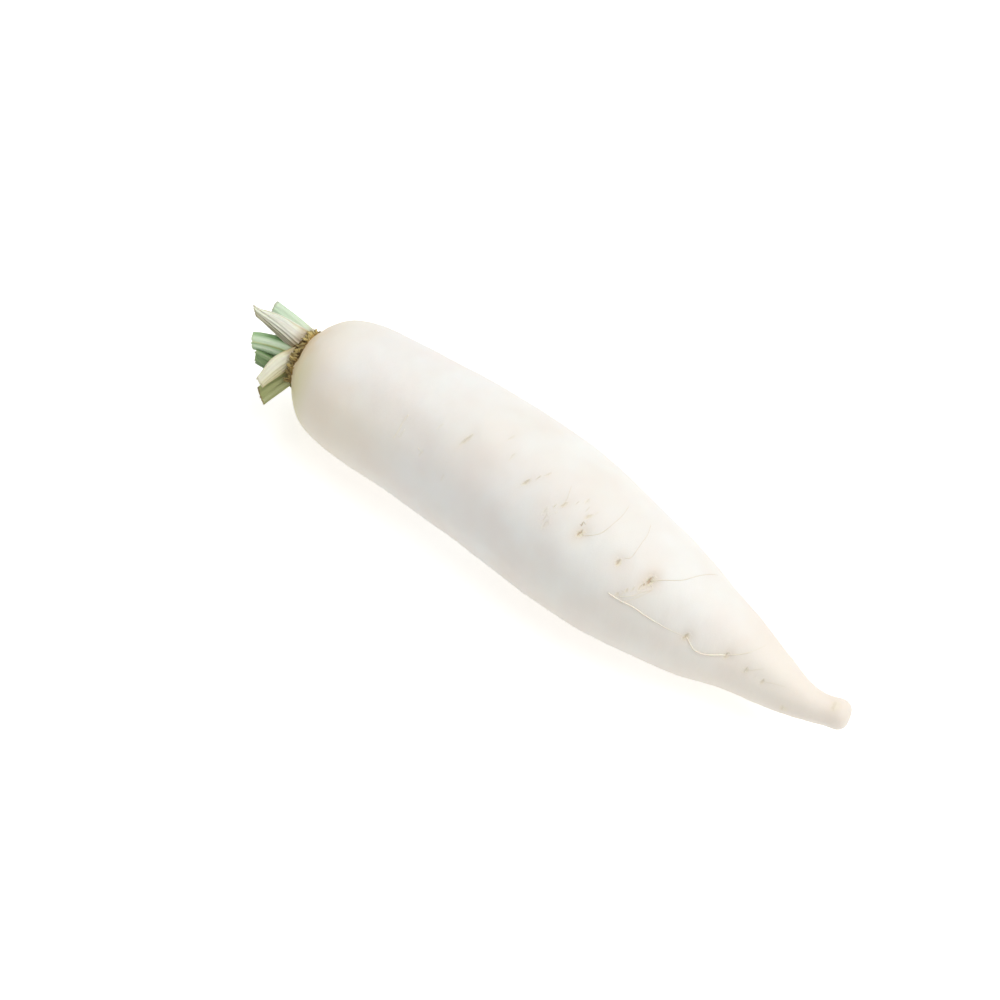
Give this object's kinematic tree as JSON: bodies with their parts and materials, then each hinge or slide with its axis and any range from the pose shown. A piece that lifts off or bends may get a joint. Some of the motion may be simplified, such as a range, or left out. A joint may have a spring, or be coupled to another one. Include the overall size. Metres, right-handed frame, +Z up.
{
  "type": "daikon radish",
  "caption": "Long white radish lying on its side, with a blunt tail, cut green leaf stalks and dry leaf bases round its crown.",
  "frame": {"origin": "bottom centre of the whole part's box, on the surface that the radish lies on", "axes": "+X along the root from the crown to the tip, +Z up, +Y to the left when looking along +X"},
  "size_m": [0.375, 0.085, 0.0798],
  "materials": {
    "root_skin": "smooth white skin, satin, slightly translucent",
    "stalk_pale": "wilted pale leaf stalk, fibrous, matte",
    "stalk_mint": "pale mint leaf stalk, satin",
    "stalk_fresh": "fresh green leaf stalk, moist satin",
    "stalk_deep": "darker green leaf stalk, satin",
    "stalk_cream": "cream yellow leaf stalk, faintly ribbed, matte",
    "stalk_olive": "olive green leaf stalk, matte",
    "dry_leaf": "dry brown and straw coloured papery leaf base"
  },
  "bodies": {
    "root": {"root": "root_skin", "leaf_stalk_1": "stalk_pale", "leaf_stalk_2": "stalk_mint", "leaf_stalk_3": "stalk_fresh", "leaf_stalk_4": "stalk_deep", "leaf_stalk_5": "stalk_cream", "leaf_stalk_6": "stalk_olive", "leaf_stalk_7": "stalk_fresh", "leaf_stalk_8": "stalk_olive", "leaf_stalk_9": "stalk_deep", "leaf_stalk_10": "stalk_deep", "leaf_stalk_11": "stalk_fresh", "leaf_stalk_12": "stalk_fresh", "dry_leaf_base_1": "dry_leaf", "dry_leaf_base_2": "dry_leaf", "dry_leaf_base_3": "dry_leaf", "dry_leaf_base_4": "dry_leaf", "dry_leaf_base_5": "dry_leaf", "dry_leaf_base_6": "dry_leaf", "dry_leaf_base_7": "dry_leaf"}
  },
  "joints": []
}
